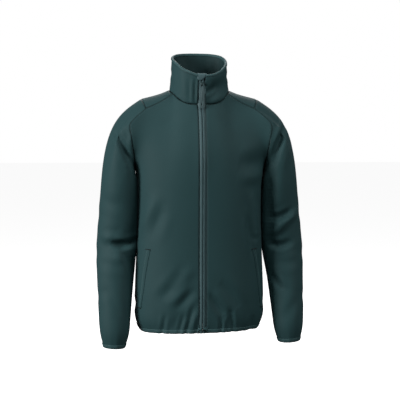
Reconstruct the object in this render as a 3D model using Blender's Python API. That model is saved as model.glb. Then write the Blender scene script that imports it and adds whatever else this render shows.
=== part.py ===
"""A full-zip fleece jacket with a stand collar, filled out as when worn.

The cloth is a thin wall everywhere and the jacket is open at neck, hem, cuffs and armholes.
Metres, +Z up. The front faces -Y and the wearer's left is at +X. The origin is in the middle
of the neck, level with the sides of the neck seam, where the wearer's shoulders carry it.
"""

import math

import bmesh
import bpy
import numpy as np

MM = 0.001

# Cloth and seams.
FLEECE = 2.0 * MM
TAPE = 1.2 * MM
SEAM = 0.18 * MM
LAYER_GAP = 0.3 * MM
LINING_GAP = 0.5 * MM
EDGE_HEIGHT = 9.0 * MM
COLLAR_EDGE_HEIGHT = 4.5 * MM
EDGE_PROUD = 0.4 * MM
EDGE_BELLY = 0.8 * MM

# Number of points read from a smooth curve before it is divided evenly.
CURVE_SAMPLES = 200
SECTION_SAMPLES = 400
PANEL_FAIRING = 6
CAP_FAIRING = 8
CAP_FAIRING_STEPS = (0.6, -0.62)
# The places on the armhole, from armpit (0) to shoulder ridge (1), over which the fairing grows.
CAP_FAIRING_FROM = (0.3, 0.5)
SMOOTH_SHADE = math.radians(50)

# Number of grid steps along each shared seam, so that the pieces beside it meet point to point.
NECK_STEPS = 7
BACK_NECK_STEPS = 6
YOKE_STEPS = 7
HEAD_STEPS = 4
ARMHOLE_STEPS = 6
CROSS_STEPS = 6
COLLAR_STEPS = 4

# The trunk in level sections. Columns: height, half width, depth of front, depth of back (mm).
TRUNK = (
    (-679, 177, 115, 104),
    (-660, 186, 118, 107),
    (-610, 189, 121, 108),
    (-520, 187, 121, 104),
    (-430, 183, 121, 100),
    (-320, 181, 125, 106),
    (-222, 185, 128, 117),
)
TRUNK_ROUNDNESS = 2.35
TRUNK_HEIGHTS = (-679, -669, -656, -638, -612, -575, -525, -465, -400, -335, -275, -222)

# Edges above the armpit, for the wearer's left. Columns: x, y, z (mm).
CENTRE_FRONT = (
    (11, -128, -222),
    (11, -128, -185),
    (11, -121, -140),
    (11, -108, -95),
    (11, -93, -60),
    (11, -81, -32),
)
CENTRE_BACK = (
    (0, 117, -222),
    (0, 117, -160),
    (0, 108, -100),
    (0, 90, -45),
    (0, 72, -8),
    (0, 62, 18),
)
FRONT_ARMHOLE = (
    (185, 0, -222),
    (189, -36, -206),
    (193, -62, -182),
    (197, -76, -150),
    (202, -78, -120),
    (207, -70, -90),
)
BACK_ARMHOLE = (
    (185, 0, -222),
    (188, 38, -206),
    (191, 68, -178),
    (194, 84, -145),
    (198, 87, -110),
    (200, 80, -80),
)
FRONT_NECK = ((11, -81, -32), (30, -79, -32), (50, -71, -27), (68, -55, -14), (80, -34, 0))
BACK_NECK = ((0, 62, 18), (28, 59, 18), (54, 50, 16), (75, 34, 13))
FRONT_YOKE = ((80, -34, 0), (104, -39, -17), (128, -44, -30), (157, -50, -43))
BACK_YOKE = ((75, 34, 13), (104, 41, -5), (132, 47, -20), (160, 52, -36))
FRONT_HEAD = ((157, -50, -43), (174, -57, -56), (192, -65, -73), (207, -70, -90))
BACK_HEAD = ((160, 52, -36), (175, 62, -48), (189, 72, -63), (200, 80, -80))
NECK_SIDE = ((80, -34, 0), (86, -17, 5), (87, 1, 8), (84, 20, 12), (75, 34, 13))
CROSS_SEAM = ((157, -50, -43), (165, -28, -24), (169, 0, -15), (167, 29, -19), (160, 52, -36))

# The sleeve in sections across its own line. Columns: x, y, z, half width, half depth (mm).
SLEEVE = (
    (229, 3, -262, 57, 72),
    (232, 8, -330, 60, 66),
    (235, 10, -395, 62, 62),
    (240, 6, -455, 61, 59),
    (245, -6, -525, 55, 54),
    (247, -20, -595, 50, 49),
    (249, -32, -660, 46, 45),
    (249, -39, -702, 42, 41),
    (250, -38, -727, 34, 35),
)
# A sleeve lies against the trunk's side, and is pressed flat there just clear of it.
SLEEVE_CLEARANCE = 1.3 * MM
SLEEVE_PRESS_SOFTNESS = 2.0 * MM
SLEEVE_CAP_STEPS = 6
SLEEVE_TUBE_STEPS = 16
# Rings over which the armhole's uneven spacing of points turns into an even one.
SLEEVE_EVENING_STEPS = 5
# How each line of the sleeve leaves the armhole, from armpit (0) to shoulder ridge (1).
# Columns: place, outward share, downward share, length out of the seam, length into the tube (mm).
SLEEVE_CAP = (
    (0.0, 0.62, -0.78, 12, 24),
    (0.3, 0.70, -0.71, 28, 46),
    (0.55, 0.90, -0.43, 60, 88),
    (0.8, 0.92, -0.39, 80, 116),
    (1.0, 0.92, -0.39, 92, 130),
)
# The wearer's left sleeve hangs a little wider and shorter: at the armpit and at the cuff (mm).
LEFT_SPREAD = (3, 11)
LEFT_LIFT = (0, 12)
LEFT_CAP_GROWTH = 1.08

# The collar's top edge, a little lower on the wearer's left. Columns: x, y, z right, z left (mm).
COLLAR_TOP = (
    (11, -86, 48, 48),
    (30, -83, 56, 49),
    (51, -73, 65, 58),
    (71, -48, 83, 72),
    (79, -16, 95, 86),
    (79, 14, 103, 97),
    (69, 38, 110, 107),
    (42, 58, 114, 113),
    (0, 66, 115, 115),
)
COLLAR_FLARE = 0.55
COLLAR_SEAM_SHARE = 0.06

# The hem hangs a little higher on the wearer's left.
HEM_TILT = 3.5 * MM
HEM_TILT_REACH = 420 * MM

# Gathers beside the elastic edges.
HEM_GATHER = 2.2 * MM
HEM_GATHER_FADE = 26 * MM
CUFF_GATHER = 1.5 * MM
CUFF_GATHER_FADE = 24 * MM
GATHER_UNEVENNESS = 2.3
GATHER_MEAN = 0.65
GATHER_SPREAD = 0.35

# The largest soft folds, as troughs. Columns: side, start, end, push direction, depth, width (mm).
FOLDS = (
    ("right", (190, -48, -424), (258, -66, -440), (0, 1, 0), 20, 18),
    ("right", (204, -60, -462), (262, -62, -474), (0, 1, 0), -7, 18),
    ("right", (262, -66, -446), (294, -34, -436), (-0.5, 1, 0), 7, 18),
    ("right", (270, -56, -414), (232, -68, -470), (0, 1, 0), -6, 16),
    ("left", (200, -60, -350), (256, -68, -352), (0, 1, 0), 13, 17),
    ("left", (204, -62, -398), (292, -40, -340), (0, 1, 0), -8, 16),
    ("left", (198, -54, -436), (262, -68, -436), (0, 1, 0), 16, 18),
    ("left", (206, -60, -540), (240, -70, -556), (0, 1, 0), 8, 14),
    ("both", (236, -80, -112), (206, -76, -180), (0, 1, 0), 13, 18),
    ("both", (150, -112, -430), (166, -98, -520), (0, 1, 0), 5, 24),
    ("both", (84, -118, -668), (30, -121, -596), (0, 1, 0), 5, 16),
    ("both", (232, 84, -108), (206, 82, -178), (0, -1, 0), 9, 20),
    ("both", (118, 104, -360), (150, 92, -460), (0, -1, 0), 7, 26),
    ("both", (214, 70, -470), (272, 62, -500), (0, -1, 0), 9, 22),
)

# The zip and its slider, on the centre line.
ZIP_HALF_WIDTH = 11 * MM
ZIP_CENTRE_GAP = 0.4 * MM
TAPE_SET_BACK = 0.5 * MM
GARAGE_HEIGHT = 11 * MM
GARAGE_WALL = 1.4 * MM
GARAGE_DROP = 1.0 * MM
GARAGE_COLUMNS = 7
# The garage narrows to its foot. Columns: share of its height from the top, share of full width.
GARAGE_SHAPE = ((1, 0.55), (0.75, 0.85), (0.4, 1), (0, 1))
SLIDER_HEIGHT = 25 * MM
SLIDER_SIZE = (9 * MM, 3.2 * MM, 12 * MM)
SLIDER_CORNER = 2.4 * MM
CROWN_WIDTH = 3.0 * MM
CROWN_STEPS = 8
CROWN_HOLE_RADIUS = 1.7 * MM
CROWN_BAR = 1.3 * MM
CROWN_SINK = 0.6 * MM
PIVOT_STAND_OFF = 2.0 * MM
PIVOT_BAR_RADIUS = 1.0 * MM
PULL_WINDOW_HALF = 2.2 * MM
PULL_WINDOW_DROP = 7.5 * MM
PULL_ARM = 1.9 * MM
PULL_THICKNESS = 2.0 * MM
PULL_NECK_LENGTH = 12 * MM
PULL_LENGTH = 70 * MM
PULL_HALF_WIDTH = 7.5 * MM
PULL_HOLE = (2.2 * MM, 4.5 * MM)
PULL_HOLE_DROP = 58 * MM
PULL_HOLE_STEPS = 16
PULL_SHOULDER = 0.9
PULL_SHOULDER_DROP = 4 * MM
PULL_END_STEPS = 5

# Side pockets. Front-view line of the facing's inner edge, from top to bottom. Columns: x, z (mm).
POCKET_LINE = ((146, -446), (152, -475), (159, -515), (165, -560), (171, -604), (173, -622))
POCKET_WIDTH = 8 * MM
POCKET_ZIP_WIDTH = 7 * MM
POCKET_STEPS = 14
POCKET_LANES = 3
POCKET_WALL = 1.2 * MM
POCKET_ZIP_WALL = 1.0 * MM
POCKET_LIFT = 0.5 * MM

# Points inside the hollows, which show each piece's outward side.
TRUNK_INSIDE = np.array((0, 0, -350)) * MM
SHOULDER_INSIDE = np.array((120, 0, -100)) * MM
SLEEVE_INSIDE = np.array((242, 0, -400)) * MM
COLLAR_INSIDE = np.array((0, 0, 40)) * MM

COLOURS = {
    "fleece": ((0.020, 0.043, 0.044), 0.85),
    "binding": ((0.024, 0.050, 0.051), 0.7),
    "tape": ((0.026, 0.052, 0.054), 0.75),
    "metal": ((0.05, 0.07, 0.07), 0.45),
    "moulded": ((0.08, 0.12, 0.125), 0.55),
}


def clear_scene():
    for thing in list(bpy.data.objects):
        bpy.data.objects.remove(thing)


def material(name):
    """The Principled material of one kind of stuff, made once."""
    found = bpy.data.materials.get(name)
    if found:
        return found
    colour, roughness = COLOURS[name]
    made = bpy.data.materials.new(name)
    made.use_nodes = True
    shader = made.node_tree.nodes["Principled BSDF"]
    shader.inputs["Base Color"].default_value = (*colour, 1.0)
    shader.inputs["Roughness"].default_value = roughness
    shader.inputs["Metallic"].default_value = 0.6 if name == "metal" else 0.0
    return made


def through(stations, values, places):
    """Values at the places, on a smooth curve through the values at the stations."""
    stations = np.asarray(stations, float)
    values = np.asarray(values, float)
    places = np.asarray(places, float)
    slopes = np.gradient(values, stations, axis=0)
    step = np.clip(np.searchsorted(stations, places, side="right") - 1, 0, len(stations) - 2)
    shape = (-1,) + (1,) * (values.ndim - 1)
    length = (stations[step + 1] - stations[step]).reshape(shape)
    t = (places - stations[step]).reshape(shape) / length
    start = (2 * t**3 - 3 * t**2 + 1) * values[step]
    start = start + (t**3 - 2 * t**2 + t) * length * slopes[step]
    end = (3 * t**2 - 2 * t**3) * values[step + 1] + (t**3 - t**2) * length * slopes[step + 1]
    return start + end


def lengths_along(points):
    steps = np.linalg.norm(np.diff(points, axis=0), axis=1)
    return np.concatenate([[0.0], np.cumsum(steps)])


def evenly(points, steps):
    """Evenly spaced points on a smooth curve through a few given ones."""
    points = np.asarray(points, float)
    stations = lengths_along(points)
    fine = through(stations, points, np.linspace(0, stations[-1], CURVE_SAMPLES))
    along = lengths_along(fine)
    places = np.linspace(0, along[-1], steps + 1)
    return np.stack([np.interp(places, along, fine[:, axis]) for axis in range(3)], axis=1)


def edge(table, steps):
    return evenly(np.array(table) * MM, steps)


def coons(low, high, near, far):
    """A smooth patch inside four edges. low and high run across it; near and far run up it."""
    across = np.linspace(0, 1, len(low))[None, :, None]
    up = np.linspace(0, 1, len(near))[:, None, None]
    rows = (1 - up) * low[None] + up * high[None]
    columns = (1 - across) * near[:, None] + across * far[:, None]
    corners = (1 - up) * ((1 - across) * low[0] + across * low[-1])
    corners = corners + up * ((1 - across) * high[0] + across * high[-1])
    return rows + columns - corners


def relax(grid, first, last, passes):
    """Fairs the inner points of some rows, with the patch's edges left where they are."""
    for _ in range(passes):
        middle = (grid[:-2, 1:-1] + grid[2:, 1:-1] + grid[1:-1, :-2] + grid[1:-1, 2:]) / 4
        blend = 0.5 * grid[1:-1, 1:-1] + 0.5 * middle
        grid[first:last, 1:-1] = blend[first - 1 : last - 1]
    return grid


def mirrored(grid):
    return grid * np.array([-1.0, 1.0, 1.0])


def trunk_row(height, depth_column, start_x, steps):
    """Half a level section of the trunk, from the middle round to the side seam."""
    table = np.array(TRUNK, float)
    half_width, depth = through(table[:, 0], table[:, (1, depth_column)], [height])[0] * MM
    sign = -1 if depth_column == 2 else 1
    turn = np.linspace(0, math.pi / 2, SECTION_SAMPLES)
    x = half_width * np.sin(turn) ** (2 / TRUNK_ROUNDNESS)
    y = sign * depth * np.cos(turn) ** (2 / TRUNK_ROUNDNESS)
    curve = np.stack([x, y, np.full_like(x, height * MM)], axis=1)
    curve = curve[x >= start_x]
    curve[0, 0] = start_x
    along = lengths_along(curve)
    places = np.linspace(0, along[-1], steps + 1)
    return np.stack([np.interp(places, along, curve[:, axis]) for axis in range(3)], axis=1)


def half_panel(depth_column, start_x, middle, armhole, top):
    """A front, or half the back: level rows up to the armpit, then a patch up to its seams."""
    steps = len(top) - 1
    low = np.array([trunk_row(height, depth_column, start_x, steps) for height in TRUNK_HEIGHTS])
    middle = edge(middle, ARMHOLE_STEPS)
    armhole = edge(armhole, ARMHOLE_STEPS)
    middle[0] = low[-1, 0]
    armhole[0] = low[-1, -1]
    high = coons(low[-1], top, middle, armhole)
    grid = np.concatenate([low, high[1:]])
    return relax(grid, len(low) - 2, len(grid) - 1, PANEL_FAIRING)


def joined(*edges):
    """Edges end to end, with each shared point kept once."""
    return np.concatenate([edges[0]] + [piece[1:] for piece in edges[1:]])


def unevenly(count):
    """Alternate ridges and troughs of uneven strength, none at the two seams."""
    place = np.arange(count)
    wave = (-1.0) ** place * (GATHER_MEAN + GATHER_SPREAD * np.sin(GATHER_UNEVENNESS * place))
    wave[[0, -1]] = 0
    return wave


def gather_hem(grid):
    """Small gathers above the hem's elastic edge, pushed in and out of the trunk."""
    rise = grid[..., 2] - grid[0, 0, 2]
    outward = grid * np.array([1.0, 1.0, 0.0])
    outward = outward / np.maximum(np.linalg.norm(outward, axis=2, keepdims=True), MM)
    size = HEM_GATHER * np.exp(-rise / HEM_GATHER_FADE) * unevenly(grid.shape[1])[None]
    return grid + outward * size[..., None]


def tilted(grid):
    """Raises the foot of the trunk on the wearer's left and lowers it on the right."""
    rise = grid[..., 2] - grid[0, 0, 2]
    moved = grid.copy()
    share = np.clip(1 - rise / HEM_TILT_REACH, 0, 1) ** 2
    moved[..., 2] += HEM_TILT * share * grid[..., 0] / (TRUNK[0][1] * MM)
    return moved


def fold(points, side):
    """Moves points by the soft folds near them. It depends on place alone, so seams stay shut."""
    flip = np.array([-1.0 if side == "right" else 1.0, 1.0, 1.0])
    moved = points.copy()
    for fold_side, start, end, push, depth, width in FOLDS:
        if fold_side not in (side, "both"):
            continue
        start = np.array(start) * flip * MM
        run = np.array(end) * flip * MM - start
        push = np.array(push, float) * flip
        share = np.clip(((points - start) @ run) / (run @ run), 0, 1)
        distance = np.linalg.norm(points - start - share[..., None] * run, axis=-1)
        size = depth * MM * np.exp(-((distance / (width * MM)) ** 2))
        moved += size[..., None] * push / np.linalg.norm(push)
    return moved


def sleeve_frames(centres):
    """At each point of the sleeve's line: the directions across it, sideways and front to back."""
    along = np.gradient(centres, lengths_along(centres), axis=0)
    along = along / np.linalg.norm(along, axis=1, keepdims=True)
    side = np.array([1.0, 0.0, 0.0]) - along * along[:, :1]
    side = side / np.linalg.norm(side, axis=1, keepdims=True)
    return along, side, np.cross(along, side)


def pressed_flat(grid):
    """Moves a sleeve's rings out to the trunk's side where they would reach into it."""
    table = np.array(TRUNK, float)
    height = np.clip(grid[..., 2] / MM, table[0, 0], table[-1, 0])
    shape = [np.interp(height, table[:, 0], table[:, column]) * MM for column in (1, 2, 3)]
    depth = np.where(grid[..., 1] < 0, shape[1], shape[2]) + SLEEVE_CLEARANCE
    share = np.clip(np.abs(grid[..., 1]) / depth, 0, 1)
    side = (shape[0] + SLEEVE_CLEARANCE) * (1 - share**TRUNK_ROUNDNESS) ** (1 / TRUNK_ROUNDNESS)
    over = grid[..., 0] - side
    moved = grid.copy()
    moved[..., 0] = side + (over + np.sqrt(over**2 + SLEEVE_PRESS_SOFTNESS**2)) / 2
    return moved


def relax_cap(grid, place):
    """Fairs the cap over the sleeve head, so that the armhole's corners fade into it.

    Each drawing together is followed by a like spreading, which keeps the cap's size.
    """
    low, high = CAP_FAIRING_FROM
    strength = np.clip((place - low) / (high - low), 0, 1)[None, :, None]
    rows = slice(1, SLEEVE_CAP_STEPS + 2)
    for step in CAP_FAIRING_STEPS * CAP_FAIRING:
        around = (np.roll(grid, 1, axis=1) + np.roll(grid, -1, axis=1))[rows]
        middle = (around + grid[: SLEEVE_CAP_STEPS + 1] + grid[2 : SLEEVE_CAP_STEPS + 3]) / 4
        grid[rows] += step * strength * (middle - grid[rows])
    return grid


def sleeve_grid(armhole, ridge_index, spread, lift, growth):
    """The sleeve: from the armhole ring over the cap to the first tube ring, then to the cuff."""
    table = np.array(SLEEVE, float)
    down = (table[0, 2] - table[:, 2]) / (table[0, 2] - table[-1, 2])
    table[:, 0] += np.interp(down, (0, 1), spread)
    table[:, 2] += np.interp(down, (0, 1), lift)
    table = table * MM
    stations = lengths_along(table[:, :3])
    rows = through(stations, table, np.linspace(0, stations[-1], SLEEVE_TUBE_STEPS + 1))
    centres = rows[:, :3]
    along, side, depth = sleeve_frames(centres)

    front = lengths_along(armhole[: ridge_index + 1])
    behind = lengths_along(np.concatenate([armhole[ridge_index:], armhole[:1]]))
    place = np.concatenate([front / front[-1], 1 - behind[1:-1] / behind[-1]])
    turn = np.concatenate([math.pi * front / front[-1], math.pi * (1 + behind[1:-1] / behind[-1])])
    even_turn = np.linspace(0, 2 * math.pi, len(armhole) + 1)[:-1]

    tube = []
    for number, row in enumerate(rows):
        evened = min(1.0, number / SLEEVE_EVENING_STEPS)
        angle = (1 - evened) * turn + evened * even_turn
        across = -np.cos(angle)[:, None] * side[number] * row[3]
        through_depth = np.sin(angle)[:, None] * depth[number] * row[4]
        front_sign = -1 if depth[number][1] > 0 else 1
        tube.append(centres[number] + across + front_sign * through_depth)
    tube = pressed_flat(np.array(tube))

    cap = through([entry[0] for entry in SLEEVE_CAP], np.array(SLEEVE_CAP)[:, 1:], place)
    leave = np.stack([cap[:, 0], np.zeros(len(cap)), cap[:, 1]], axis=1)
    leave = leave / np.linalg.norm(leave, axis=1, keepdims=True) * cap[:, 2:3] * growth * MM
    arrive = along[0] * cap[:, 3:4] * MM
    rings = []
    for t in np.linspace(0, 1, SLEEVE_CAP_STEPS + 1)[:-1]:
        first = (1 - t) ** 3 * armhole + 3 * (1 - t) ** 2 * t * (armhole + leave)
        last = 3 * (1 - t) * t**2 * (tube[0] - arrive) + t**3 * tube[0]
        rings.append(first + last)
    grid = relax_cap(np.concatenate([np.array(rings), tube]), place)

    wave = unevenly(grid.shape[1])
    rise = np.linalg.norm(grid - grid[-1:], axis=2)
    outward = grid - grid.mean(axis=1, keepdims=True)
    outward = outward / np.linalg.norm(outward, axis=2, keepdims=True)
    size = CUFF_GATHER * np.exp(-rise / CUFF_GATHER_FADE) * wave[None]
    return grid + outward * size[..., None]


def grid_normals(grid, ring):
    """Unit normals of a grid of points; a ring's last column meets its first."""
    if ring:
        wrapped = np.concatenate([grid[:, -1:], grid, grid[:, :1]], axis=1)
        across = wrapped[:, 2:] - wrapped[:, :-2]
    else:
        across = np.gradient(grid, axis=1)
    up = np.gradient(grid, axis=0)
    normal = np.cross(across, up)
    return normal / np.linalg.norm(normal, axis=2, keepdims=True)


def key(point):
    return tuple(np.round(point / (0.01 * MM)).astype(int))


def seam_points(grid, ring):
    """The row and column of every point on the outline of a sheet."""
    rows, columns = grid.shape[:2]
    return [
        (row, column)
        for row in range(rows)
        for column in range(columns)
        if row in (0, rows - 1) or (not ring and column in (0, columns - 1))
    ]


def share_seam_normals(sheets):
    """Gives pieces that meet at a seam one normal there, so that their walls end alike.

    The trunk's pieces count as one against a sleeve, which keeps the armpit's walls apart.
    """
    sums = {}
    for name, sheet in sheets.items():
        family = "sleeve" if name.startswith("sleeve") else "trunk"
        for row, column in seam_points(sheet["grid"], sheet["ring"]):
            families = sums.setdefault(key(sheet["grid"][row, column]), {})
            families[family] = families.get(family, 0) + sheet["out"][row, column]
    for sheet in sheets.values():
        for row, column in seam_points(sheet["grid"], sheet["ring"]):
            families = sums[key(sheet["grid"][row, column])].values()
            total = sum(normal / np.linalg.norm(normal) for normal in families)
            sheet["out"][row, column] = total / np.linalg.norm(total)


def drawn_in(grid, ring):
    """The same sheet with its outline drawn in by the seam gap."""
    drawn = grid.copy()
    for end, inside in ((0, 1), (-1, -2)):
        step = grid[inside] - grid[end]
        drawn[end] += SEAM * step / np.linalg.norm(step, axis=1, keepdims=True)
        if not ring:
            step = grid[:, inside] - grid[:, end]
            drawn[:, end] += SEAM * step / np.linalg.norm(step, axis=1, keepdims=True)
    return drawn


def finish(name, mesh, stuff):
    """Makes an object of a closed mesh, with its faces pointing out."""
    bmesh.ops.recalc_face_normals(mesh, faces=mesh.faces)
    data = bpy.data.meshes.new(name)
    mesh.to_mesh(data)
    mesh.free()
    data.shade_smooth()
    data.set_sharp_from_angle(angle=SMOOTH_SHADE)
    made = bpy.data.objects.new(name, data)
    made.data.materials.append(material(stuff))
    bpy.context.scene.collection.objects.link(made)
    return made


def add_rim(mesh, outer_edge, inner_edge):
    """One quad of a wall's rim as two faces, split alike on both sides of a seam."""
    (a, b), (c, d) = outer_edge, inner_edge
    if (a.co.z, a.co.y) > (b.co.z, b.co.y):
        a, b, c, d = b, a, d, c
    mesh.faces.new((a, b, d))
    mesh.faces.new((a, d, c))


def wall(name, outer, inner, stuff, ring=False):
    """A closed wall between an outer and an inner sheet of the same grid."""
    mesh = bmesh.new()
    skins = [[[mesh.verts.new(point) for point in row] for row in skin] for skin in (outer, inner)]
    rows, columns = outer.shape[:2]
    spans = columns if ring else columns - 1
    for skin in skins:
        for row in range(rows - 1):
            for column in range(spans):
                after = (column + 1) % columns
                low = (skin[row][column], skin[row][after])
                mesh.faces.new((*low, skin[row + 1][after], skin[row + 1][column]))
    outside, inside = skins
    for row in (0, rows - 1):
        for column in range(spans):
            after = (column + 1) % columns
            edges = [(skin[row][column], skin[row][after]) for skin in (outside, inside)]
            add_rim(mesh, *edges)
    if not ring:
        for column in (0, columns - 1):
            for row in range(rows - 1):
                edges = [(skin[row][column], skin[row + 1][column]) for skin in (outside, inside)]
                add_rim(mesh, *edges)
    return finish(name, mesh, stuff)


def cloth(name, sheet, thickness, stuff):
    outer = drawn_in(sheet["grid"], sheet["ring"])
    return wall(name, outer, outer - sheet["out"] * thickness, stuff, sheet["ring"])


def swept(name, path, out, up, section, stuff, ring=False):
    """A bar of one section along a path. The section's columns: distance out, distance up."""
    mesh = bmesh.new()
    loops = []
    for point, outward, upward in zip(path, out, up):
        loops.append([mesh.verts.new(point + outward * a + upward * b) for a, b in section])
    count = len(section)
    spans = len(loops) if ring else len(loops) - 1
    for number in range(spans):
        here, there = loops[number], loops[(number + 1) % len(loops)]
        for corner in range(count):
            after = (corner + 1) % count
            mesh.faces.new((here[corner], here[after], there[after], there[corner]))
    if not ring:
        mesh.faces.new(loops[0])
        mesh.faces.new(loops[-1])
    return finish(name, mesh, stuff)


def sheet_of(grid, centre, ring=False):
    """A sheet with normals that point away from a centre inside the jacket."""
    out = grid_normals(grid, ring)
    if np.sum(out * (grid - centre)) < 0:
        out = -out
    return {"grid": grid, "ring": ring, "out": out}


def make_sheets():
    """Every cloth sheet of the jacket's outer surface, by node name."""
    top_front = joined(
        edge(FRONT_NECK, NECK_STEPS), edge(FRONT_YOKE, YOKE_STEPS), edge(FRONT_HEAD, HEAD_STEPS)
    )
    top_back = joined(
        edge(BACK_NECK, BACK_NECK_STEPS), edge(BACK_YOKE, YOKE_STEPS), edge(BACK_HEAD, HEAD_STEPS)
    )
    front = half_panel(2, ZIP_HALF_WIDTH, CENTRE_FRONT, FRONT_ARMHOLE, top_front)
    behind = half_panel(3, 0.0, CENTRE_BACK, BACK_ARMHOLE, top_back)
    neck_side = edge(NECK_SIDE, CROSS_STEPS)
    cross = edge(CROSS_SEAM, CROSS_STEPS)
    front_yoke = top_front[NECK_STEPS : NECK_STEPS + YOKE_STEPS + 1]
    back_yoke = top_back[BACK_NECK_STEPS : BACK_NECK_STEPS + YOKE_STEPS + 1]
    yoke = coons(front_yoke, back_yoke, neck_side, cross)

    armpit_row = len(TRUNK_HEIGHTS) - 1
    armhole = joined(
        front[armpit_row:, -1],
        top_front[NECK_STEPS + YOKE_STEPS :][::-1],
        cross,
        top_back[BACK_NECK_STEPS + YOKE_STEPS :],
        behind[armpit_row:, -1][::-1],
    )[:-1]
    ridge_index = ARMHOLE_STEPS + HEAD_STEPS + CROSS_STEPS // 2
    sleeves = {
        "right": sleeve_grid(armhole, ridge_index, (0, 0), (0, 0), 1),
        "left": sleeve_grid(armhole, ridge_index, LEFT_SPREAD, LEFT_LIFT, LEFT_CAP_GROWTH),
    }

    front = gather_hem(front)
    behind = gather_hem(behind)
    front_neck = top_front[: NECK_STEPS + 1]
    back_neck = top_back[: BACK_NECK_STEPS + 1]
    collar_half = joined(front_neck, neck_side, back_neck[::-1])

    sheets = {}
    for side, flip in (("right", mirrored), ("left", np.copy)):
        sheets["front_" + side] = sheet_of(fold(tilted(flip(front)), side), TRUNK_INSIDE)
        sheets["shoulder_" + side] = sheet_of(fold(flip(yoke), side), flip(SHOULDER_INSIDE))
        sleeve = fold(flip(sleeves[side]), side)
        sheets["sleeve_" + side] = sheet_of(sleeve, flip(SLEEVE_INSIDE), ring=True)
    right_half = fold(tilted(mirrored(behind)[:, ::-1]), "right")
    left_half = fold(tilted(behind), "left")
    sheets["back"] = sheet_of(np.concatenate([right_half[:, :-1], left_half], axis=1), TRUNK_INSIDE)

    low = joined(mirrored(collar_half), collar_half[::-1])
    right_top, left_top = (
        edge([(x, y, heights[side]) for x, y, *heights in COLLAR_TOP], len(collar_half) - 1)
        for side in (0, 1)
    )
    high = joined(mirrored(right_top), left_top[::-1])
    rows = []
    for share in np.linspace(0, 1, COLLAR_STEPS + 1):
        flat = (high - low) * np.array([1.0, 1.0, 0.0]) * share**COLLAR_FLARE
        rows.append(low + flat + (high - low) * np.array([0.0, 0.0, 1.0]) * share)
    sheets["collar_outer"] = sheet_of(np.array(rows), COLLAR_INSIDE)
    return sheets


def upward(grid, rows):
    """Unit directions along a grid's columns, from one row to another."""
    step = grid[rows[1]] - grid[rows[0]]
    return step / np.linalg.norm(step, axis=1, keepdims=True)


def make_collar_lining(collar):
    """The inner collar, one layer in from the outer one and just above the neck seam."""
    grid = collar["grid"].copy()
    grid[0] = grid[0] + (grid[1] - grid[0]) * COLLAR_SEAM_SHARE * COLLAR_STEPS
    outer = drawn_in(grid - collar["out"] * (FLEECE + LINING_GAP), False)
    wall("collar_inner", outer, outer - collar["out"] * FLEECE, "fleece")


def binding_section(inner, height, way):
    """A binding's section, a little proud of both cloth faces and fuller at half height.

    inner is how far in the cloth's other face lies, and way is 1 for up and -1 for down.
    """
    start = way * LAYER_GAP
    middle = way * height / 2
    end = way * height
    outside = [(EDGE_PROUD, start), (EDGE_BELLY, middle), (0, end)]
    inside = [(-inner, end), (-inner - EDGE_BELLY, middle), (-inner - EDGE_PROUD, start)]
    return outside + inside


def make_edges(sheets):
    """The narrow bindings at collar, hem and cuffs."""
    collar = sheets["collar_outer"]
    section = binding_section(FLEECE * 2 + LINING_GAP, COLLAR_EDGE_HEIGHT, 1)
    path = collar["grid"][-1].copy()
    path[[0, -1], 0] *= 1 + SEAM / ZIP_HALF_WIDTH
    up = upward(collar["grid"], (-2, -1))
    swept("collar_edge", path, collar["out"][-1], up, section, "binding")

    section = binding_section(FLEECE, EDGE_HEIGHT, -1)
    trunk = [sheets[name] for name in ("front_right", "back", "front_left")]
    orders = (slice(None), slice(None), slice(None, None, -1))
    path = joined(*[sheet["grid"][0][order] for sheet, order in zip(trunk, orders)])
    out = joined(*[sheet["out"][0][order] for sheet, order in zip(trunk, orders)])
    up = joined(*[upward(sheet["grid"], (0, 1))[order] for sheet, order in zip(trunk, orders)])
    up = up + np.array([0.0, 0.0, 1.0])
    up = up / np.linalg.norm(up, axis=1, keepdims=True)
    path[[0, -1], 0] *= 1 + SEAM / ZIP_HALF_WIDTH
    swept("hem_edge", path, out, up, section, "binding")
    for side in ("right", "left"):
        sleeve = sheets["sleeve_" + side]
        path, out = sleeve["grid"][-1], sleeve["out"][-1]
        up = upward(sleeve["grid"], (-1, -2))
        swept("cuff_" + side, path, out, up, section, "binding", ring=True)


def zip_line(sheets):
    """Points and outward directions down the jacket's front edge, from collar top to hem bottom."""
    front = sheets["front_left"]
    collar = sheets["collar_outer"]
    neck = collar["grid"][:, -1]
    top = neck[-1] + upward(collar["grid"], (-2, -1))[-1] * COLLAR_EDGE_HEIGHT
    foot = front["grid"][0, 0] - np.array([0.0, 0.0, EDGE_HEIGHT])
    points = np.concatenate([[foot], front["grid"][:, 0], neck[1:], [top]])
    run = np.gradient(points, axis=0)
    out = np.stack([np.zeros(len(points)), -run[:, 2], run[:, 1]], axis=1)
    return points, out / np.linalg.norm(out, axis=1, keepdims=True)


def make_zip(sheets):
    """Two tapes that meet at the centre, and the small cap over their top end."""
    points, out = zip_line(sheets)
    points = points - out * TAPE_SET_BACK
    for side, sign in (("right", -1), ("left", 1)):
        lanes = []
        for x in (ZIP_CENTRE_GAP / 2, ZIP_HALF_WIDTH - LAYER_GAP):
            lane = points.copy()
            lane[:, 0] = sign * x
            lanes.append(lane)
        outer = np.stack(lanes, axis=1)
        inner = outer - out[:, None] * TAPE
        wall("zip_tape_" + side, outer, inner, "tape")

    top = points[-1] + out[-1] * LAYER_GAP
    top[2] -= GARAGE_DROP
    direction = upward(points[:, None], (-2, -1))[0]
    rows = []
    for share, narrowing in GARAGE_SHAPE:
        place = top - direction * share * GARAGE_HEIGHT
        half_width = narrowing * (ZIP_HALF_WIDTH - LAYER_GAP)
        across = np.linspace(-half_width, half_width, GARAGE_COLUMNS)
        rows.append([[x, place[1], place[2]] for x in across])
    inner = np.array(rows)
    wall("zip_garage", inner + out[-1] * GARAGE_WALL, inner, "fleece")
    return points


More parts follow.
